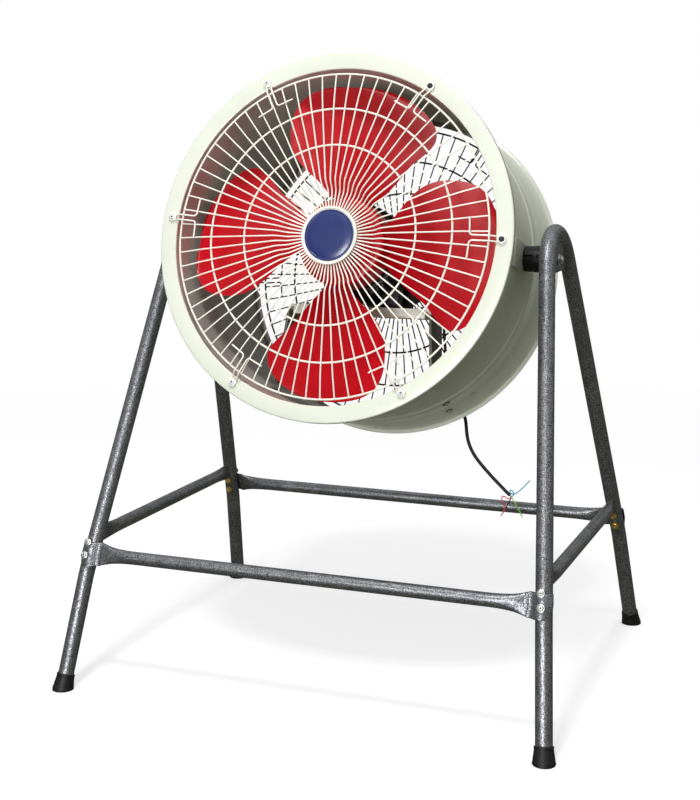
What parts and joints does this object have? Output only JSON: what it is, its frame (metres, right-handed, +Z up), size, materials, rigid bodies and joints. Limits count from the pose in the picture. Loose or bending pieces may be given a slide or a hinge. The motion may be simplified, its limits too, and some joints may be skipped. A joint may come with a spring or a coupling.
{
  "type": "axial air mover",
  "caption": "Portable axial air mover: a drum fan with a red bladed impeller and wire guards, tilting between the hairpin legs of a tubular floor stand.",
  "frame": {"origin": "on the floor, midway between the four feet", "axes": "+Z up, +X to the right seen from the front, and the fan blows towards -Y"},
  "size_m": [0.9714, 0.8321, 1.1932],
  "materials": {
    "stand_paint": "satin",
    "foot_rubber": "matte",
    "zinc_plate": "satin",
    "drum_paint": "gloss",
    "spacer_plastic": "satin",
    "white_wire": "gloss",
    "badge_blue": "gloss",
    "black_wire": "satin",
    "motor_casting": "satin",
    "motor_cowl": "satin",
    "bright_steel": "satin",
    "impeller_red": "gloss",
    "cable_jacket": "satin",
    "gland_plastic": "satin",
    "conductor_sleeve": "satin"
  },
  "bodies": {
    "stand": {"stand_hairpin_left": "stand_paint", "stand_hairpin_right": "stand_paint", "pivot_plate_left": "stand_paint", "pivot_plate_right": "stand_paint", "side_bar_left": "stand_paint", "side_bar_right": "stand_paint", "crossbar_front": "stand_paint", "crossbar_rear": "stand_paint", "foot_front_left": "foot_rubber", "foot_front_right": "foot_rubber", "foot_rear_left": "foot_rubber", "foot_rear_right": "foot_rubber", "saddle_bolt_front_left_lower": "zinc_plate", "saddle_bolt_front_left_upper": "zinc_plate", "saddle_bolt_front_right_lower": "zinc_plate", "saddle_bolt_front_right_upper": "zinc_plate", "saddle_bolt_rear_left_lower": "zinc_plate", "saddle_bolt_rear_left_upper": "zinc_plate", "saddle_bolt_rear_right_lower": "zinc_plate", "saddle_bolt_rear_right_upper": "zinc_plate"},
    "fan_head": {"drum_shell": "drum_paint", "pivot_pad_left": "drum_paint", "pivot_pad_right": "drum_paint", "pivot_spacer_left": "spacer_plastic", "pivot_spacer_right": "spacer_plastic", "pivot_bolt_left": "zinc_plate", "pivot_bolt_right": "zinc_plate", "front_guard": "white_wire", "guard_centre_plate": "white_wire", "guard_badge": "badge_blue", "rear_guard": "black_wire", "guard_clip_1": "white_wire", "guard_clip_2": "white_wire", "guard_clip_3": "white_wire", "guard_clip_4": "white_wire", "guard_clip_5": "white_wire", "guard_clip_6": "white_wire", "clip_screw_1": "zinc_plate", "clip_screw_2": "zinc_plate", "clip_screw_3": "zinc_plate", "clip_screw_4": "zinc_plate", "clip_screw_5": "zinc_plate", "clip_screw_6": "zinc_plate", "motor_housing": "motor_casting", "motor_end_shield": "motor_casting", "motor_rear_cover": "motor_cowl", "motor_bearing_front": "bright_steel", "motor_bearing_rear": "bright_steel", "motor_cradle": "drum_paint", "cable_gland": "gland_plastic", "motor_lead": "cable_jacket", "supply_cable": "cable_jacket", "cable_conductors": "conductor_sleeve"},
    "impeller": {"impeller_hub": "impeller_red", "impeller_retainer": "zinc_plate", "motor_rotor": "bright_steel", "impeller_blade_1": "impeller_red", "impeller_blade_2": "impeller_red", "impeller_blade_3": "impeller_red", "impeller_blade_4": "impeller_red"}
  },
  "joints": [
    {"name": "head_tilt", "type": "hinge", "parent": "stand", "child": "fan_head", "pos_m": [0, 0, 0.81], "axis": [1, 0, 0], "range_deg": [-75, 60]},
    {"name": "impeller_spin", "type": "hinge", "parent": "fan_head", "child": "impeller", "pos_m": [0, 0, 0.81], "axis": [0, -0.9674, 0.2533], "continuous": true}
  ]
}
